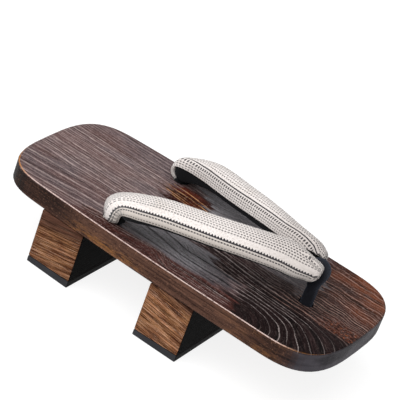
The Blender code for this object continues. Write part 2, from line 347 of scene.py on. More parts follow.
def board_grain(finish, x, y):
    """The year lines, and what other patterns take from them: their level, y and strength."""
    # The lines sway a little, and the brush has left their edges ragged
    sway = finish.speckle(x * 0.045, y * 0.1, 3.0, 1.0) - 0.5
    ragged = finish.speckle(x * 0.3, y * 0.9, 1.0, 3.0, 0.7) - 0.5
    wavy = finish.speckle(x * 0.06, y * 0.03, 27.0, 1.0) - 0.5
    wavy = wavy * 7.0 * x.rise(45.0, 75.0) * y.rise(-20.0, 0.0)
    swayed = y + sway * 3.0 + ragged * 1.8 + wavy
    heel = heel_level(x, swayed)
    toe, toe_change = toe_level(x, swayed)
    toe_side = x.rise(-8.0, 14.0)
    level = finish.mix_value(heel, toe, toe_side)

    strength = finish.speckle(x * 0.06, level * 0.5, 7.0, 4.0, 0.75)
    strength = strength.rise(0.34, 0.62) * 0.9 + 0.2
    strength = strength * (1.0 + x.band(22.0, 60.0, 10.0) * y.band(-40.0, -8.0, 6.0) * 0.35)
    # Where the level changes slowly a line would come out broad, so it is drawn narrower there
    breadth = toe_change * (1.0 - toe.rise(-12.0, -18.0) * 0.3)
    breadth = breadth * (1.0 - x.rise(60.0, 20.0) * 0.25) * 0.86
    toe_lines = (1.0 - (1.0 - lines_of(finish, TOE_LINES, toe)) / breadth).share()
    toe_lines = toe_lines * (1.0 - x.rise(52.0, 62.0) * toe.rise(-44.4, -45.4))
    drawn = finish.mix_value(lines_of(finish, HEEL_LINES, heel), toe_lines, toe_side)
    hair = finish.speckle(x * 0.16, y * 2.2, 21.0, 3.0, 0.75)
    lines = (drawn * strength * (hair.rise(0.36, 0.58) * 0.75 + 0.35)).share()
    return SimpleNamespace(lines=lines, level=level, y=swayed, strength=strength, toe_side=toe_side)


def board_zones(finish, x, y, border):
    """Where each kind of surface lies on the top. The borders are ragged along the grain. The
    grey patches round the strap and thong are painted reflection, and the dark patch by the
    right arm's foot is painted shadow.
    """
    x_edge = x + border * 46.0
    y_edge = y + border * 9.0
    x_corner = x + border * 20.0
    frayed = (finish.speckle(x * 0.05, y * 0.8, 31.0, 2.0) - 0.5) * 26.0
    toe_tip = x_edge.rise(88.0, 124.0) * y_edge.rise(4.0, 30.0)
    between_arms = x_edge.band(10.0, 72.0, 12.0) * y_edge.band(-14.0, 4.0, 3.0)
    by_right_arm = x_edge.band(30.0, 76.0, 8.0) * y_edge.band(-24.0, 4.0, 3.0)
    between = between_arms.at_least(by_right_arm)
    slate_near = x_edge.band(-34.0, 40.0, 10.0) * y_edge.band(-46.0, -12.0, 3.0) * (1.0 - between)
    slate_v = x_edge.band(-24.0, 60.0, 8.0) * y_edge.band(14.0, 54.0, 5.0)
    by_thong = x_edge.band(44.0, 84.0, 6.0) * y_edge.band(-1.0, 30.0, 4.0)
    return SimpleNamespace(
        toe_far=x_edge.rise(58.0, 82.0) * y_edge.rise(-23.0, -18.0),
        toe_tip=toe_tip.at_least(y_edge.rise(32.0, 50.0) * x.rise(56.0, 84.0) * 0.8),
        corner=x_corner.rise(104.0, 120.0) * y_edge.band(-26.0, -5.0, 6.0),
        by_corner=x_corner.rise(96.0, 112.0) * y_edge.band(-26.0, 2.0, 6.0),
        arcs=x_edge.rise(44.0, 62.0) * y_edge.rise(-15.0, -19.0),
        between=between,
        slate_near=slate_near,
        slate_v=slate_v,
        slate_browned=x_edge.rise(14.0, 44.0) * y.rise(-22.0, -30.0),
        # The grey patches of painted reflection, where lines and flecks fade
        smooth=(slate_near + slate_v + by_thong * 0.7).share(),
        amber=(x_edge + frayed).band(-39.0, -15.0, 8.0) * y_edge.band(14.0, 37.0, 4.0),
        near_band=y_edge.rise(-45.0, -49.0) * x_edge.band(-62.0, 60.0, 7.0),
        shadow_by_foot=x_edge.band(-54.0, -36.0, 4.0) * y_edge.rise(-47.0, -50.0),
    )


def toe_ground(finish, x, y, zones, streak, cloud):
    """The darker toe: blotched, browner towards its far end and mottled in its near corner."""
    ground = finish.mix(paint(12, 7, 8), paint(62, 42, 40), streak)
    ground = finish.mix(ground, paint(128, 70, 42), zones.toe_tip * (cloud * 0.6 + 0.15))
    blotch = finish.speckle(x * 0.05, y * 0.12, 41.0, 3.0)
    ground = finish.mix(ground, paint(8, 5, 6), blotch.rise(0.52, 0.66) * 0.7)
    ground = finish.mix(ground, paint(84, 48, 38), zones.by_corner * streak * 0.6)
    speck = finish.speckle(x * 0.45, y * 0.7, 23.0, 3.0, 0.7)
    mottled = finish.mix(paint(12, 6, 5), paint(84, 46, 34), speck.rise(0.36, 0.60))
    mottled = finish.mix(mottled, paint(184, 108, 66), speck.rise(0.57, 0.70) * 0.7)
    return finish.mix(ground, mottled, zones.corner)


def slate_reflection_ground(finish, x, y, zones, level, streak, cloud):
    """The smooth grey patches round the strap, a painted reflection of the pale strap and
    surroundings, gritty and with fine threads.
    """
    grit = finish.speckle(x * 0.6, y * 1.1, 17.0, 3.0, 0.75)
    thread = finish.speckle(x * 0.02, level * 1.4, 51.0, 3.0, 0.7)
    thread_share = thread.rise(0.5, 0.36) * (0.25 + zones.slate_v * 0.4)
    slate = finish.mix(paint(104, 101, 105), paint(160, 157, 161), streak)
    slate = finish.mix(slate, paint(40, 38, 42), grit.rise(0.47, 0.33) * 0.7)
    slate = finish.mix(slate, paint(50, 44, 48), thread_share)
    slate = finish.mix(slate, paint(168, 166, 172), grit.rise(0.55, 0.70) * 0.5)
    slate = finish.mix(slate, paint(70, 56, 60), y.rise(-38.0, -47.0) * 0.5)
    slate = finish.mix(slate, paint(50, 36, 40), zones.slate_browned * 0.7)
    return finish.mix(slate, paint(52, 44, 48), x.rise(30.0, 56.0) * (cloud * 0.4 + 0.3))


def top_ground(finish, x, y, zones, level, streak):
    """The top's colour under its flecks and lines."""
    cloud = finish.speckle(x * 0.022, y * 0.05, 9.0, 2.0).rise(0.35, 0.65)
    # The ground's grey-mauve, lightest on the heel, is partly the wood's own tone and partly
    # painted sheen
    ground = finish.mix(paint(54, 42, 43), paint(112, 97, 100), streak)
    ground = finish.mix(ground, paint(98, 64, 57), cloud * 0.45)
    ground = finish.mix(ground, toe_ground(finish, x, y, zones, streak, cloud), zones.toe_far)
    slate = slate_reflection_ground(finish, x, y, zones, level, streak, cloud)
    # Painted reflection: the grey patches round the strap and thong
    ground = finish.mix(ground, slate, zones.smooth)
    between = finish.mix(paint(16, 9, 11), paint(58, 38, 38), streak)
    ground = finish.mix(ground, between, zones.between)
    arcs = finish.mix(paint(12, 8, 9), paint(42, 29, 29), streak)
    ground = finish.mix(ground, arcs, zones.arcs)
    amber = finish.mix(paint(44, 18, 11), paint(108, 44, 22), cloud)
    amber = finish.mix(paint(6, 3, 3), amber, streak)
    ground = finish.mix(ground, amber, zones.amber)
    near_band = finish.mix(paint(22, 9, 9), paint(92, 54, 48), streak)
    # Painted shadow on the near band round the right arm's foot
    near_band = finish.mix(near_band, paint(54, 24, 18), zones.shadow_by_foot * 0.8)
    return finish.mix(ground, near_band, zones.near_band)


def board_top(finish, x, y, zones, grain, streak, fleck):
    """The brushed top: flecks and fuzz over its ground, and the year lines over both."""
    colour = top_ground(finish, x, y, zones, grain.level, streak)
    dark_fleck = fleck.rise(0.47, 0.33) * (0.8 - zones.smooth * 0.4)
    colour = finish.mix(colour, paint(18, 11, 12), dark_fleck)
    fuzz = finish.speckle(x * 0.5, y * 1.5, 37.0, 2.0, 0.6)
    colour = finish.mix(colour, paint(20, 13, 14), fuzz.rise(0.45, 0.32) * 0.45)
    pale_fuzz = fuzz.rise(0.58, 0.72) * 0.35 * (1.0 - zones.arcs * 0.7)
    colour = finish.mix(colour, paint(190, 172, 168), pale_fuzz)
    light_fleck = fleck.rise(0.54, 0.70) * (0.5 - zones.smooth * 0.3) * (1.0 - zones.arcs * 0.8)
    light_fleck = light_fleck * (1.0 - zones.amber * 0.7) * (1.0 - zones.toe_far * 0.4)
    colour = finish.mix(colour, paint(172, 148, 142), light_fleck)

    year_lines = grain.lines * (1.0 - zones.smooth * 0.9) * (1.0 - zones.amber)
    year_lines = year_lines * (1.0 - zones.corner * 0.5) * (1.0 - zones.by_corner * 0.35)
    line_colour = finish.mix(paint(198, 178, 173), paint(208, 192, 188), grain.toe_side)
    line_colour = finish.mix(line_colour, paint(200, 160, 146), zones.toe_far)
    colour = finish.mix(colour, line_colour, year_lines * 0.86)
    amber_lines = lines_of(finish, AMBER_LINES, grain.y + (x + 34.0) * 0.1)
    amber_lines = amber_lines * grain.strength.rise(0.35, 0.8) * zones.amber
    colour = finish.mix(colour, paint(222, 168, 120), amber_lines * 0.85)
    fallen = (8.0 - x).at_least(0.0) * 0.2 * y.rise(-46.0, -32.0)
    slate_lines = lines_of(finish, SLATE_LINES, grain.y - fallen)
    slate_lines = slate_lines * zones.slate_near * x.rise(-36.0, -26.0)
    return finish.mix(colour, paint(8, 6, 8), slate_lines * (grain.strength * 0.4 + 0.6))


def sawn_edge(finish, x, y, z, nx, border, side_line, grit):
    """The edge round the board: brown along its sides, grey at the toe, where the grey is painted
    reflection, and black at the heel.
    """
    fleck = finish.speckle(x * 0.14, y * 0.14, z * 0.9, 4.0, 0.75)
    cloud = finish.speckle(x * 0.04, y * 0.03, z * 0.12, 3.0).rise(0.38, 0.62)
    dark_side = finish.mix(paint(20, 11, 9), paint(60, 40, 33), side_line)
    brown_side = finish.mix(paint(50, 32, 26), paint(102, 73, 60), side_line)
    browned = x.rise(-84.0, -52.0) * 0.8 * (1.0 - x.rise(66.0, 96.0) * 0.75) + cloud * 0.2
    side = finish.mix(dark_side, brown_side, browned)
    low = z.rise(54.0, 46.0)
    gold_middle = low * x.band(-60.0, -14.0, 16.0) * 0.8
    gold_toe = cloud * x.rise(50.0, 80.0) * x.rise(118.0, 100.0) * 0.45
    gold = gold_middle + gold_toe + x.rise(-112.0, -122.0) * low * 0.45
    side = finish.mix(side, paint(142, 96, 54), gold.share() * fleck.rise(0.42, 0.64) * 0.85)
    side = finish.mix(side, paint(22, 13, 12), fleck.rise(0.46, 0.32) * 0.75)
    pits = grit.rise(0.45, 0.33) * fleck.rise(0.66, 0.42) * 0.8
    side = finish.mix(side, paint(14, 7, 7), pits)
    pale_grit = grit.rise(0.57, 0.72) * fleck.rise(0.36, 0.60) * 0.5
    side = finish.mix(side, paint(170, 126, 102), pale_grit)

    # The toe end's grey is painted reflection
    toe_end_reflection = finish.mix(paint(46, 43, 47), paint(70, 67, 72), cloud)
    heel_end = finish.mix(paint(6, 3, 2), paint(26, 14, 10), side_line)
    end = finish.mix(heel_end, toe_end_reflection, x.rise(-100.0, 60.0))
    heel_fleck = grit.rise(0.57, 0.72) * fleck.rise(0.44, 0.62) * x.rise(-100.0, -120.0) * 0.4
    end = finish.mix(end, paint(150, 92, 52), heel_fleck)
    return finish.mix(side, end, (nx.size() + border * 0.8).rise(0.08, 0.75))


def rim_wear_and_highlight(finish, colour, x, z, ny, grit):
    """The rim: a thin pale line along the near side, partly rubbed wear and partly painted
    highlight, and amber round its two corners.
    """
    rim = z.rise(BOARD_TOP - 0.6, BOARD_TOP - 0.35) * z.rise(BOARD_TOP - 0.04, BOARD_TOP - 0.14)
    rim = rim * (grit.rise(0.38, 0.52) * 0.55 + 0.45)
    along_side = ny.rise(-0.1, -0.4) * x.rise(118.0, 104.0) * x.rise(-124.0, -112.0)
    heel_corner = ny.rise(0.0, -0.2) * x.rise(-104.0, -118.0)
    toe_corner = ny.rise(-0.2, -0.5) * x.rise(98.0, 112.0)
    # Pale line along the near side: rubbed wear and painted highlight
    colour = finish.mix(colour, paint(222, 196, 188), rim * along_side * 0.85)
    return finish.mix(colour, paint(190, 124, 54), rim * (heel_corner + toe_corner).share() * 0.7)


def charred_board():
    finish = Finish("charred_board")
    x, y, z = finish.place()
    nx, ny, nz = finish.normal()
    up = nz.rise(0.25, 0.75)
    border = finish.speckle(x * 0.05, y * 0.22, 13.0, 3.0) - 0.5
    zones = board_zones(finish, x, y, border)
    grain = board_grain(finish, x, y)
    streak = finish.speckle(x * 0.014, grain.level * 0.55, 1.0, 4.0, 0.7).rise(0.3, 0.7)
    fleck = finish.speckle(x * 0.11, grain.level * 1.3, 5.0, 3.0, 0.7)
    side_line = finish.speckle(x * 0.012, y * 0.012, z * 0.7, 5.0, 0.75).rise(0.3, 0.7)
    grit = finish.speckle(x, y, z, 3.0, 0.7, scale=0.8)

    top = board_top(finish, x, y, zones, grain, streak, fleck)
    side = sawn_edge(finish, x, y, z, nx, border, side_line, grit)
    colour = rim_wear_and_highlight(finish, finish.mix(side, top, up), x, z, ny, grit)
    relief = grain.lines * up * 0.7 + streak * up * 0.3 + fleck * 0.7
    relief = relief + side_line * (1.0 - up) * 0.4
    finish.bump(relief * (1.0 - zones.smooth * 0.6), 0.3)
    roughness = 0.5 - zones.smooth * 0.1 + grain.lines * 0.15
    finish.set(Base_Color=colour, Roughness=roughness, Specular_IOR_Level=0.08)
    return finish.material


# The teeth and treads


def tooth_wood(name, climb, shade_from, age):
    """Golden wood on the sides and near-black broad faces.

    Its lines climb towards the toe. From the given height up it is darker, a painted shade under
    the board, and age darkens it.
    """
    finish = Finish(name)
    x, y, z = finish.place()
    broad_face = finish.normal()[0].size().rise(0.4, 0.8)
    across = z - x * climb
    streak = finish.speckle(x * 0.014, y * 0.02, across * 0.5, 5.0, 0.8).rise(0.34, 0.66)
    fine = finish.speckle(x * 0.05, y * 0.06, across * 2.7, 4.0, 0.8)
    patches = finish.speckle(x * 0.07, 2.0, across * 0.14, 3.0).rise(0.35, 0.65)
    gold = finish.mix(paint(48, 26, 21), paint(164, 110, 77), streak)
    gold = finish.mix(gold, paint(190, 138, 94), patches * 0.4)
    gold = finish.mix(gold, paint(40, 20, 16), fine.rise(0.53, 0.42) * 0.95)
    gold = finish.mix(gold, paint(224, 184, 158), fine.rise(0.54, 0.66) * 0.8)
    gold = finish.mix(gold, paint(62, 36, 24), age)
    # Painted shade along the top, under the board, and a little darker towards the foot
    dark_tone = finish.mix(paint(30, 18, 15), paint(88, 62, 53), (streak + fine - 0.5).share())
    darkened = across.rise(shade_from - 3.0, shade_from + 6.0) * 0.95 + z.rise(14.0, 6.0) * 0.2
    side = finish.mix(gold, dark_tone, darkened * (patches * 0.2 + 0.8))
    # The broad faces, fore and aft, are near-black
    black_faces = finish.mix(paint(2, 2, 2), paint(10, 6, 5), streak)
    finish.bump(streak * 0.5 + fine * 0.8, 0.3)
    finish.set(
        Base_Color=finish.mix(side, black_faces, broad_face),
        Roughness=0.65,
        Specular_IOR_Level=0.02,
    )
    return finish.material


def tread_rubber():
    finish = Finish("tread_rubber")
    x, y, z = finish.place()
    broad_face = finish.normal()[0].size().rise(0.4, 0.8)
    grit = finish.speckle(x, y, z, 3.0, 0.6, scale=1.4)
    dust = finish.speckle(x, y, z, scale=0.12)
    colour = finish.mix(paint(44, 44, 46), paint(60, 60, 63), dust)
    colour = finish.mix(colour, paint(5, 5, 6), broad_face)
    finish.bump(grit, 0.12)
    finish.set(Base_Color=colour, Roughness=0.62, Specular_IOR_Level=0.06)
    return finish.material


# Cloth

# All sizes of the knit are in millimetres, and places are from the cover's outer edge. The
# stitches repeat at DASH_PITCH along the arm.
DASH_PITCH = 2.13
COVER_WIDTH = 37.7
# Rows of dark stitches: (middle, length across, share of the pitch filled, strength)
DASH_ROWS = (
    (4.6, 0.8, 0.66, 0.95), (12.8, 0.8, 0.62, 0.75), (33.0, 0.9, 0.62, 0.8),
    (34.8, 0.9, 0.62, 0.75), (36.5, 0.8, 0.58, 0.65),
)
EDGE_ROW = (1.1, 0.75, 0.6, 0.75)
TALL_ROW = (30.7, 1.8, 0.5, 0.95)
TALL_ROW_SLANT = 0.13
CROWN_ROWS_START = 14.65
CROWN_ROW_PITCH = 1.85
CROWN_ROWS_END = 27.0
TOOTHED_LINE = 6.7
TOOTH_HEIGHT = 1.35
CREST_LINE = 28.3
RIB_PITCH = 0.62
FOLD_PITCH = 2.7
# The map's reading inside the cover, and on the cut front end, which is bound in dark cloth
INSIDE_READING = COVER_WIDTH + 4.0
BOUND_READING = COVER_WIDTH + 10.0


def dashes(across, beat, row):
    """A row of stitches, one to a beat."""
    middle, length, filled, strength = row
    in_row = (across - middle).size().rise(length / 2 + 0.18, length / 2 - 0.12)
    on_beat = (beat.fraction() - 0.5).size().rise(filled / 2 + 0.10, filled / 2 - 0.06)
    return in_row * on_beat * strength


def crown_dashes(along, across, beat):
    """Staggered pale rows over the padding's top."""
    row_number = (across - (CROWN_ROWS_START - CROWN_ROW_PITCH / 2)) / CROWN_ROW_PITCH
    in_row = (row_number.fraction() - 0.5).size().rise(0.34, 0.14)
    odd = (row_number / 2).fraction().math("GREATER_THAN", 0.5)
    on_beat = ((beat + odd * 0.5).fraction() - 0.5).size().rise(0.38, 0.24)
    rows = in_row * on_beat * across.band(CROWN_ROWS_START - 0.9, CROWN_ROWS_END, 0.2)
    return rows * (along.rise(105.0, 145.0) * 0.2 + 0.7)


def toothed_line(across, beat):
    """A dark line whose upper side has teeth like a saw, half a beat from the dashes."""
    tooth = (beat + 0.5).fraction().ridge() * TOOTH_HEIGHT
    above = across - TOOTHED_LINE
    return above.rise(-0.75, -0.5) * (tooth + 0.25 - above).rise(-0.15, 0.25)


def knit_cover():
    finish = Finish("knit_cover")
    along, placed_across = finish.cloth_place("cover_map")
    # The inner rows bend inwards where the arms meet
    bend = along.rise(138.0, 172.0)
    across = placed_across - bend * bend * 9.0 * placed_across.rise(17.0, 27.0)
    beat = along / DASH_PITCH
    dark = strongest([
        *(dashes(across, beat, row) for row in DASH_ROWS),
        crown_dashes(along, across, beat),
        dashes(across, beat + (across - TALL_ROW[0]) * TALL_ROW_SLANT, TALL_ROW),
        dashes(across, beat + 0.5, EDGE_ROW),
        toothed_line(across, beat),
        (across - CREST_LINE).size().rise(0.62, 0.3),
        across.rise(COVER_WIDTH + 6.0, COVER_WIDTH + 7.0),
    ])

    # Weave: fine ribs along and across, and loose yarn
    rib = (across / RIB_PITCH).fraction().ridge()
    cross_rib = (along / (DASH_PITCH / 3)).fraction().ridge()
    yarn = finish.speckle(along, across, 0.0, 2.0, 0.6, scale=1.7)
    tuft = finish.speckle(along, across, 8.0, 2.0, 0.7, scale=0.75)
    soil = finish.speckle(along * 0.06, across * 0.1, 4.0, 2.0)
    # Gathered folds round the bend of each foot, their creases painted in shade
    fold = (along / FOLD_PITCH + across * 0.06).fraction().ridge()
    gathered = along.band(19.0, 33.0, 3.0) * across.rise(9.5, 4.0)

    cream = finish.mix(paint(236, 226, 221), paint(253, 247, 244), yarn.rise(0.3, 0.7))
    cream = finish.mix(cream, paint(212, 202, 192), soil.rise(0.5, 0.8) * 0.4)
    # Painted shade in the hollows between the ribs
    cream = finish.mix(cream, paint(178, 168, 158), (1.0 - rib) * (1.0 - cross_rib) * 0.24)
    # Darker towards the outer edge: painted shade on the arm's lower side, and denser grey stitches
    cream = finish.mix(cream, paint(160, 148, 132), across.rise(7.0, 5.2) * (yarn * 0.5 + 0.25))
    cream = finish.mix(cream, paint(134, 124, 116), across.rise(4.4, 0.4) * 0.5)
    cream = finish.mix(cream, paint(178, 168, 162), tuft.rise(0.47, 0.64) * 0.42)
    # Painted shade towards the front ends, where the arms meet under the thong
    cream = finish.mix(cream, paint(196, 187, 182), along.rise(95.0, 165.0) * 0.7)
    # Painted shade in the folds' creases
    cream = finish.mix(cream, paint(120, 112, 108), fold.rise(0.5, 0.1) * gathered * 0.6)
    relief = rib * 0.35 + cross_rib * 0.25 + yarn * 0.35 - dark * 0.6 + fold * gathered * 3.0
    finish.bump(relief, 0.35)
    finish.set(
        Base_Color=finish.mix(cream, paint(40, 36, 40), dark),
        Roughness=0.9,
        Sheen_Weight=0.25,
        Sheen_Roughness=0.6,
    )
    return finish.material


def dark_cloth(name, light, dark, sheen):
    """Plain black cloth of the linings, cords and thong, with a soft nap."""
    finish = Finish(name)
    x, y, z = finish.place()
    nap = finish.speckle(x, y, z, 3.0, 0.7, scale=1.8)
    patches = finish.speckle(x, y, z, scale=0.25)
    finish.bump(nap, 0.25)
    finish.set(
        Base_Color=finish.mix(dark, light, nap * 0.6 + patches * 0.4),
        Roughness=0.95,
        Specular_IOR_Level=0.3,
        Sheen_Weight=sheen,
        Sheen_Roughness=0.45,
        Sheen_Tint=(0.55, 0.7, 1.0, 1.0),
    )
    return finish.material


# Meshes


def blend_rows(rows, steps):
    """The rows of a table, with smooth rows between them."""
    last = len(rows) - 1
    made = []
    for span in range(last):
        four = [rows[min(max(span + k, 0), last)] for k in (-1, 0, 1, 2)]
        for step in range(steps):
            t = step / steps
            made.append(tuple(
                0.5 * (2 * b + (c - a) * t + (2 * a - 5 * b + 4 * c - d) * t * t
                       + (3 * b - a - 3 * c + d) * t ** 3)
                for a, b, c, d in zip(*four)
            ))
    made.append(rows[-1])
    return made


def skin(name, rings, finish, closed=False, map_name=None, reading=None):
    """A piece whose surface joins rings of points, in millimetres. Its ends are closed by a face,
    or else it is closed in a loop. Reading gives a point's place on the piece's own map."""
    count = len(rings[0])
    points = [tuple(c * MM for c in p) for ring in rings for p in ring]
    faces = []
    spans = len(rings) if closed else len(rings) - 1
    for i in range(spans):
        here, there = i * count, (i + 1) % len(rings) * count
        for k in range(count):
            m = (k + 1) % count
            faces.append((here + k, here + m, there + m, there + k))
    if not closed:
        faces.append(tuple(range(count)))
        faces.append(tuple((len(rings) - 1) * count + k for k in reversed(range(count))))
    mesh = bpy.data.meshes.new(name)
    mesh.from_pydata(points, [], faces)
    if map_name:
        layer = mesh.uv_layers.new(name=map_name)
        for corner in mesh.loops:
            layer.data[corner.index].uv = reading(corner.vertex_index)
    made = bmesh.new()
    made.from_mesh(mesh)
    bmesh.ops.recalc_face_normals(made, faces=made.faces)
    made.to_mesh(mesh)
    made.free()
    mesh.shade_smooth()
    mesh.materials.append(finish)
    obj = bpy.data.objects.new(name, mesh)
    bpy.context.scene.collection.objects.link(obj)
    return obj


def direction(path, i):
    """Which way a path runs at one of its points."""
    return (path[min(i + 1, len(path) - 1)] - path[max(i - 1, 0)]).normalized()


def lengths_along(points):
    """How far each point of a line is from its start."""
    lengths = [0.0]
    for before, after in zip(points, points[1:]):
        lengths.append(lengths[-1] + (Vector(after) - Vector(before)).length)
    return lengths


def blunted(value, power):
    """A sine or cosine that stays longer near its ends, for power under 1."""
    return math.copysign(abs(value) ** power, value)


# The strap. Each row is a section across one arm, from its knot to its front end, in millimetres
# and degrees. The cover stops short of the section's outer and inner edge by outer_stop and
# inner_stop, and hang is how much lower the lining is along the inner edge. Where it hangs low,
# round the feet, the black lining also stands in for the shade under the arm.
ArmRow = namedtuple(
    "ArmRow", "along out rise width crown lip dish lean tilt turn outer_stop inner_stop hang"
)
ARM_ROWS = (
    (-46.5, 44.0, -17.4, 11.2, 5.6, 5.6, 0.0, 0.0, 0, 50, 0.6, 0.6, 0.0),
    (-46.5, 44.0, -10.0, 11.2, 5.6, 5.6, 0.0, 0.0, 0, 50, 0.6, 0.6, 0.0),
    (-46.5, 44.0, -5.0, 11.2, 5.6, 5.6, 0.0, 0.0, 0, 50, 0.6, 0.6, 0.0),
    (-46.5, 44.0, -0.8, 11.2, 5.6, 5.6, 0.0, 0.0, 0, 52, 0.6, 0.5, 0.0),
    (-46.3, 44.3, 0.8, 14.2, 6.2, 4.6, 0.4, 0.2, 0, 56, 0.8, 0.4, 0.6),
    (-46.2, 44.8, 2.6, 17.2, 6.8, 3.4, 1.2, 0.8, 1, 57, 1.0, 0.3, 2.4),
    (-46.2, 45.4, 5.8, 19.6, 7.2, 3.6, 2.2, 2.6, 3, 56, 1.2, 0.2, 5.0),
    (-44.4, 46.2, 10.0, 21.6, 7.2, 3.6, 3.0, 4.2, 2, 51, 1.2, 0.2, 9.6),
    (-40.0, 47.2, 13.2, 23.4, 7.8, 3.6, 4.0, 5.0, 0, 35, 1.1, 0.2, 12.0),
    (-33.0, 47.0, 15.2, 24.0, 9.6, 3.8, 5.4, 5.2, -2, 24, 0.8, 0.0, 10.8),
    (-25.0, 44.6, 16.2, 23.6, 11.4, 4.0, 6.4, 4.4, -2, 19, 0.4, -0.2, 6.8),
    (-10.0, 39.2, 18.2, 23.0, 12.8, 3.5, 6.8, 3.8, -2, 18, 0.0, -0.3, 4.0),
    (8.0, 33.5, 20.3, 23.4, 12.6, 3.4, 6.8, 3.6, 0, 18, -0.2, -0.3, 3.8),
    (25.0, 28.4, 22.5, 23.8, 12.2, 3.5, 6.2, 3.6, 3, 18, -0.3, -0.3, 4.0),
    (42.0, 22.1, 24.7, 24.4, 11.6, 3.6, 5.2, 3.4, 8, 20, -0.3, -0.2, 3.8),
    (56.0, 16.5, 26.1, 24.4, 11.4, 3.8, 4.2, 3.2, 13, 21, -0.3, 0.0, 2.4),
    (68.0, 12.5, 27.4, 23.6, 11.0, 4.2, 2.8, 3.6, 20, 19, -0.2, 0.2, 0.0),
    (75.5, 11.2, 27.8, 22.4, 10.2, 4.2, 1.8, 4.0, 27, 16, 0.0, 0.2, 0.0),
    (82.0, 10.4, 27.8, 20.4, 9.4, 4.0, 0.4, 3.0, 32, 13, 0.1, 0.2, 0.0),
    (87.6, 9.4, 27.6, 17.8, 8.8, 3.6, 0.0, 1.8, 34, 9, 0.2, 0.2, 0.0),
    (91.4, 8.6, 27.3, 15.8, 8.2, 3.2, 0.0, 1.6, 35, 6, 0.2, 0.2, 0.0),
    (93.4, 8.3, 27.0, 14.6, 7.2, 2.8, 0.0, 1.2, 36, 5, 0.1, 0.1, 0.0),
    (94.2, 8.1, 26.9, 13.2, 6.2, 2.4, 0.0, 1.0, 36, 5, 0.1, 0.1, 0.0),
    (94.7, 8.0, 26.8, 10.6, 4.6, 1.8, 0.0, 0.4, 36, 5, 0.0, 0.1, 0.0),
    (95.0, 7.9, 26.8, 6.6, 2.4, 1.0, 0.0, 0.0, 36, 5, 0.0, 0.1, 0.0),
    (95.1, 7.9, 26.8, 2.6, 0.8, 0.4, 0.0, 0.0, 36, 5, 0.0, 0.1, 0.0),
)
ARM_STEPS = 14
CROWN_POINTS = 60
UNDER_POINTS = 28
COVER_THICKNESS = 1.2
FOOT_COVER_EXTRA = 1.9
BODY_INSET = 0.5
FOOT_BODY_INSET = 3.0
LEAST_HALF = 0.3
CUT_END_X = 94.5

# The front end's outer side draws back, and the left arm's end tapers, tilts and stops sooner,
# behind the thong's loop
DRAWN_BACK = 2.8
DRAWN_BACK_HALF = 7.5
LEFT_END_NARROWER = 0.15
LEFT_END_THINNER = 0.06
LEFT_END_TILT = 4.0
LEFT_END_FROM_X = 80.0
LEFT_END_SHORTER = 0.5
# The two feet don't stand quite alike: the right one is farther forward by twice FEET_STAGGER.
# Down at the board it also leans forward, and its lining bulges out of the cover; the bulging
# black lining also stands in for the shade at the foot's inner side.
FEET_FORWARD = 0.3
FEET_STAGGER = 1.2
LEFT_FOOT_LOWER = 1.6
RIGHT_FOOT_LEAN = 1.2
RIGHT_FOOT_BULGE = 4.6

# The arms part round the thong's loop, which is as wide as this from the middle line
THONG_HALF_WIDTH = 4.9
LOOP_START_X = 81.5
LOOP_FULL_X = 84.5
ARMS_GAP = 0.12
LINING_GAP = 0.3


def middle_line(x):
    """The y of the line between the arms, which drifts towards the toe hole."""
    return TOE_HOLE[1] * ramp(x, HEEL_HOLE_X, TOE_HOLE[0])


def foot_share(row):
    """1 on the low part of a foot just over the board, fading above and below it."""
    return ramp(row.rise, 12.0, 7.0) * ramp(row.rise, -1.0, 1.0)


def under_curve(row, lift, inner):
    """The strap's underside across one section, for lift from 0 at an edge to 1 in the middle and
    inner from -1 at the outer edge to 1 at the inner one."""
    flattened = ramp(row.dish, 0.0, 1.0)
    outer_share = 0.1 + 0.6 * ramp(row.rise, 11.0, 5.0)
    hang = row.hang * (outer_share + (1 - outer_share) * ramp(inner, -0.3, 0.7) ** 0.5)
    edge = row.lip + hang * (1 - lift**4)
    return row.dish * lift**4 - edge * lift ** (1 - 0.3 * flattened)


def crown_point(row, angle, inset):
    """A point of the padded crown, angle 0 at its outer edge and half a turn at its inner one."""
    half = max(row.width / 2 - inset, LEAST_HALF)
    crown = max(row.crown - inset, LEAST_HALF)
    lift = math.sin(angle)
    return half * math.cos(angle) - row.lean * lift * lift, crown * lift


def cover_section(row):
    """The knitted cover as (across, up): over the crown from the outer edge, and back inside it."""
    first = row.outer_stop / max(row.crown, 1.0)
    last = math.pi - row.inner_stop / max(row.crown, 1.0)
    thickness = min(COVER_THICKNESS + FOOT_COVER_EXTRA * foot_share(row), row.crown * 0.5)
    points = []
    for i in range(CROWN_POINTS + 1):
        points.append(crown_point(row, first + (last - first) * i / CROWN_POINTS, 0.0))
    for i in range(UNDER_POINTS + 1):
        points.append(crown_point(row, last + (first - last) * (i / UNDER_POINTS), thickness))
    return points


def body_section(row):
    """The padding in its black lining: inside the cover, and hanging below its two edges."""
    # Low down on the feet it draws back, and leaves the cover's edge standing as a lip
    inset = BODY_INSET + FOOT_BODY_INSET * foot_share(row)
    half = max(row.width / 2 - inset, LEAST_HALF)
    blunting = 1 - 0.55 * ramp(row.dish, 0.0, 1.0)
    angles = [math.pi * i / UNDER_POINTS for i in range(UNDER_POINTS + 1)]
    points = [crown_point(row, angle, inset) for angle in angles]
    for angle in angles[1:-1]:
        inner = math.cos(angle)
        under = under_curve(row, math.sin(angle), inner)
        points.append((-half * blunted(inner, blunting), under))
    return points


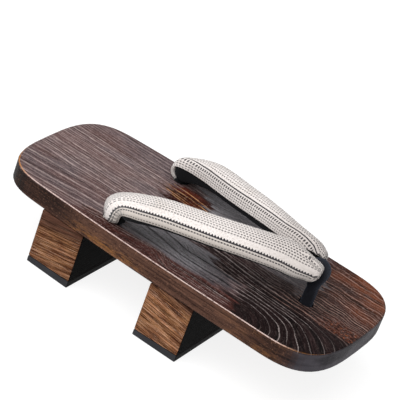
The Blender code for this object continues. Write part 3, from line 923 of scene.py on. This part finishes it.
def arm_rings(rows, side, section_of):
    """The sections of an arm in their places, for side 1 (the left arm) or -1 (the right one)."""
    path = [Vector(row[:3]) for row in rows]
    rings = []
    for i, row in enumerate(rows):
        taper = (1 + side) * ramp(row.along, 76.0, 88.0)
        drawn_back = ramp(row.along, 66.0, 92.0) ** 2
        turn = math.radians(row.turn)
        drop = math.tan(math.radians(row.tilt + LEFT_END_TILT * taper))
        outwards = Vector((math.sin(turn), math.cos(turn), -drop)).normalized()
        upwards = direction(path, i).cross(outwards).normalized()
        foot = ramp(row.rise, 0.0, 6.0) * ramp(row.along, -20.0, -38.0)
        low = 0.0
        stand = Vector(((FEET_FORWARD - side * FEET_STAGGER) * foot, 0.0, 0.0))
        if side > 0:
            stand.z = -LEFT_FOOT_LOWER * foot
            stand.x -= max(row.along - LEFT_END_FROM_X, 0.0) * LEFT_END_SHORTER
        else:
            low = ramp(row.rise, 10.0, 4.0) * ramp(row.rise, -0.8, 0.2)
            stand.x += RIGHT_FOOT_LEAN * low
        ring = []
        for across, up in section_of(row):
            if across > 0:
                across *= 1 - LEFT_END_NARROWER * taper
                if up < -0.2:
                    across += RIGHT_FOOT_BULGE * low
            lifted = upwards * up * (1 - LEFT_END_THINNER * taper)
            point = path[i] + stand + outwards * across + lifted
            point.x -= drawn_back * (max(across + 1.0, 0.0) / DRAWN_BACK_HALF) ** 2 * DRAWN_BACK
            ring.append((point.x, middle_line(point.x) + side * point.y, BOARD_TOP + point.z))
        rings.append(ring)
    return rings


def press(ring, side, gap):
    """Keeps an arm on its own side of the other one, and out of the thong's loop between them."""
    pressed = []
    for x, y, z in ring:
        loop = ramp(x, LOOP_START_X, LOOP_FULL_X) * THONG_HALF_WIDTH
        off = max(side * (y - middle_line(x)), loop + ARMS_GAP + gap)
        pressed.append((x, middle_line(x) + side * off, z))
    return pressed


def arm_rows():
    return [ArmRow(*row) for row in blend_rows(ARM_ROWS, ARM_STEPS)]


def across_readings(ring, row):
    """How far each point of the crown is from the cover's outer edge, along the cloth.

    What the section is short of the cover's width is taken up past the middle of the crown.
    """
    lengths = lengths_along(ring[:CROWN_POINTS + 1])
    spare = COVER_WIDTH - row.inner_stop - lengths[-1]
    readings = []
    for length in lengths:
        share = ramp(length / lengths[-1], 0.5, 0.75)
        readings.append(length + spare * share * share * (3 - 2 * share))
    return readings


def make_cover(name, side, finish):
    rows = arm_rows()
    rings = [press(ring, side, 0.0) for ring in arm_rings(rows, side, cover_section)]
    along = lengths_along([row[:3] for row in rows])
    across = [across_readings(ring, row) for ring, row in zip(rings, rows)]
    count = len(rings[0])

    def reading(vertex):
        i, k = divmod(vertex, count)
        if rows[i].along > CUT_END_X:
            v = BOUND_READING
        elif k > CROWN_POINTS:
            v = INSIDE_READING
        else:
            v = across[i][k]
        return along[i] * MM, v * MM

    return skin(name, rings, finish, map_name="cover_map", reading=reading)


def make_lining(name, side, finish):
    rings = arm_rings(arm_rows(), side, body_section)
    return skin(name, [press(ring, side, LINING_GAP) for ring in rings], finish)


# The toe thong's path, in millimetres: along, rise over the board, width, thickness. It comes up
# through the hole, goes over the arms and down behind them, back to the hole.
THONG_ROWS = (
    (90.4, -17.4, 8.6, 8.0),
    (90.4, -8.0, 8.8, 8.2),
    (90.4, 0.0, 9.0, 8.4),
    (90.5, 8.0, 9.2, 8.2),
    (90.8, 13.0, 9.6, 7.4),
    (92.6, 18.0, 10.6, 6.2),
    (94.4, 23.0, 11.0, 6.2),
    (94.8, 27.0, 10.6, 6.0),
    (92.8, 30.4, 10.0, 5.6),
    (89.4, 31.8, 9.0, 5.2),
    (86.2, 30.8, 8.0, 4.8),
    (84.4, 28.2, 7.0, 4.4),
    (84.6, 23.0, 7.0, 4.4),
    (87.2, 18.0, 8.0, 4.4),
    (89.4, 12.0, 8.4, 4.4),
    (90.2, 6.0, 8.4, 4.4),
    (90.2, 0.0, 8.4, 4.4),
    (90.2, -8.0, 8.2, 4.4),
    (90.2, -17.4, 8.0, 4.4),
)
THONG_STEPS = 8
THONG_POINTS = 28
THONG_BLUNTING = 0.75


def make_thong(finish):
    rows = blend_rows(THONG_ROWS, THONG_STEPS)
    path = [Vector((along, 0.0, rise)) for along, rise, _, _ in rows]
    sideways = Vector((0.0, 1.0, 0.0))
    rings = []
    for i, (_, _, width, thickness) in enumerate(rows):
        outwards = sideways.cross(direction(path, i))
        middle = path[i] + Vector((0.0, TOE_HOLE[1], BOARD_TOP))
        ring = []
        for k in range(THONG_POINTS):
            angle = 2 * math.pi * k / THONG_POINTS
            wide = blunted(math.cos(angle), THONG_BLUNTING) * width / 2
            thick = blunted(math.sin(angle), THONG_BLUNTING) * thickness / 2
            ring.append(tuple(middle + sideways * wide + outwards * thick))
        rings.append(ring)
    return skin("thong", rings, finish)


KNOT_TURNS = 72
KNOT_POINTS = 14
KNOT_GAP = 0.2


def make_knot(name, centre, radius, height, cord, finish):
    """A cord's knot under the board, as a tube along a three-lobed loop."""
    # The loop's own formula reaches 3 from its middle
    scale = (radius - cord) / 3.0
    path = []
    for i in range(KNOT_TURNS):
        t = 2 * math.pi * i / KNOT_TURNS
        path.append(Vector((
            centre[0] + scale * (math.sin(t) + 2 * math.sin(2 * t)),
            centre[1] + scale * (math.cos(t) - 2 * math.cos(2 * t)),
            BOARD_BOTTOM - KNOT_GAP - height / 2 - (height / 2 - cord) * math.sin(3 * t),
        )))
    rings = []
    for i in range(KNOT_TURNS):
        ahead = (path[(i + 1) % KNOT_TURNS] - path[i - 1]).normalized()
        first = ahead.cross(Vector((0, 0, 1))).normalized()
        second = ahead.cross(first)
        ring = []
        for k in range(KNOT_POINTS):
            angle = 2 * math.pi * k / KNOT_POINTS
            out = first * math.cos(angle) + second * math.sin(angle)
            ring.append(tuple(path[i] + out * cord))
        rings.append(ring)
    return skin(name, rings, finish, closed=True)


# Putting it together


def finish_node(name, finish):
    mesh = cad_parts[name].data
    mesh.materials.clear()
    mesh.materials.append(finish)


finish_node("deck", charred_board())
front_wood = tooth_wood("front_tooth_wood", climb=-0.13, shade_from=42.5, age=0.0)
rear_wood = tooth_wood("rear_tooth_wood", climb=0.19, shade_from=46.0, age=0.3)
finish_node("front_tooth", front_wood)
finish_node("rear_tooth", rear_wood)
rubber = tread_rubber()
finish_node("front_pad", rubber)
finish_node("rear_pad", rubber)

knit = knit_cover()
lining = dark_cloth("lining_cloth", paint(13, 12, 16), paint(4, 4, 6), sheen=0.03)
velvet = dark_cloth("thong_velvet", paint(30, 30, 38), paint(11, 11, 15), sheen=0.14)

for side, hand in ((1, "left"), (-1, "right")):
    cover = make_cover(hand + "_arm_cover", side, knit)
    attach(cover, "root")
    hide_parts("strap")
    under = make_lining(hand + "_arm_lining", side, lining)
    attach(under, "root")
    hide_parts("strap")
    hole = (HEEL_HOLE_X, middle_line(HEEL_HOLE_X) + side * HEEL_HOLE_OUT)
    knot = make_knot(hand + "_arm_knot", hole, radius=6.4, height=6.6, cord=1.9, finish=lining)
    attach(knot, "root")
    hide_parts("strap")

thong = make_thong(velvet)
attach(thong, "root")
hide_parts("toe_thong")
thong_knot = make_knot("thong_knot", TOE_HOLE, radius=6.9, height=7.2, cord=2.1, finish=velvet)
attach(thong_knot, "root")
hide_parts("toe_thong")


# Camera, floor and light

# The camera's place and lens come from the fit to the photograph, in metres and millimetres
CAMERA_AZIMUTH = math.radians(23.266)
CAMERA_ELEVATION = math.radians(29.740)
CAMERA_ROLL = math.radians(20.288)
CAMERA_DISTANCE = 1.4105
CAMERA_ASIDE = 0.00061
CAMERA_BELOW = 0.021792
CAMERA_LENS = 185.9
CAMERA_SENSOR = 36.0

FLOOR_SIZE = 8.0
FLOOR_BELOW = 0.0002
FLOOR_GREYS = (0.25, 0.28)
FLOOR_GLOW = 0.84
SKY_STRENGTH = 0.36
LIGHTS_AIM = Vector((0.0, 0.0, 0.05))
WHITE = (1.0, 1.0, 1.0, 1.0)


def make_camera():
    a, e, r = CAMERA_AZIMUTH, CAMERA_ELEVATION, CAMERA_ROLL
    back = Vector((math.sin(a) * math.cos(e), -math.cos(a) * math.cos(e), math.sin(e)))
    level = Vector((math.cos(a), math.sin(a), 0.0))
    upright = back.cross(level)
    right = level * math.cos(r) + upright * math.sin(r)
    up = upright * math.cos(r) - level * math.sin(r)
    aim = Vector((0.0, 0.0, BOARD_TOP * MM)) - right * CAMERA_ASIDE + up * CAMERA_BELOW
    data = bpy.data.cameras.new("camera")
    data.sensor_width = CAMERA_SENSOR
    data.lens = CAMERA_LENS
    data.clip_start = 0.05
    data.clip_end = 20.0
    camera = bpy.data.objects.new("camera", data)
    place = Matrix((right, up, back)).transposed().to_4x4()
    place.translation = aim + back * CAMERA_DISTANCE
    camera.matrix_world = place
    bpy.context.scene.collection.objects.link(camera)
    bpy.context.scene.camera = camera


def make_floor():
    """A plain pale floor. It glows faintly, so that it stays nearly white."""
    bpy.ops.object.select_all(action="DESELECT")
    bpy.ops.mesh.primitive_plane_add(size=FLOOR_SIZE, location=(0.0, 0.0, -FLOOR_BELOW))
    floor = bpy.context.object
    floor.name = "floor"
    bpy.ops.object.transform_apply(location=True)
    finish = Finish("pale_floor")
    x, y, _ = finish.place()
    mottle = finish.speckle(x * 0.01, y * 0.01, 0.0)
    darker, paler = ((grey, grey, grey, 1.0) for grey in FLOOR_GREYS)
    finish.set(
        Base_Color=finish.mix(darker, paler, mottle),
        Roughness=0.9,
        Emission_Color=WHITE,
        Emission_Strength=FLOOR_GLOW,
    )
    floor.data.materials.append(finish.material)


def soft_light(name, place, size, power):
    data = bpy.data.lights.new(name, "AREA")
    data.shape = "RECTANGLE"
    data.size, data.size_y = size
    data.energy = power
    light = bpy.data.objects.new(name, data)
    turned = (LIGHTS_AIM - Vector(place)).to_track_quat("-Z", "Y").to_matrix().to_4x4()
    turned.translation = Vector(place)
    light.matrix_world = turned
    bpy.context.scene.collection.objects.link(light)


def light_world():
    world = bpy.data.worlds.new("studio")
    world.use_nodes = True
    sky = world.node_tree.nodes["Background"]
    sky.inputs["Color"].default_value = WHITE
    sky.inputs["Strength"].default_value = SKY_STRENGTH
    bpy.context.scene.world = world


make_camera()
make_floor()
light_world()
soft_light("key_light", (-0.45, -1.2, 2.2), size=(3.0, 3.0), power=82.0)
soft_light("sheen_light", (-0.62, 0.66, 0.44), size=(0.55, 0.3), power=0.7)
# The render shows the colours as they are mixed
bpy.context.scene.view_settings.view_transform = "Standard"
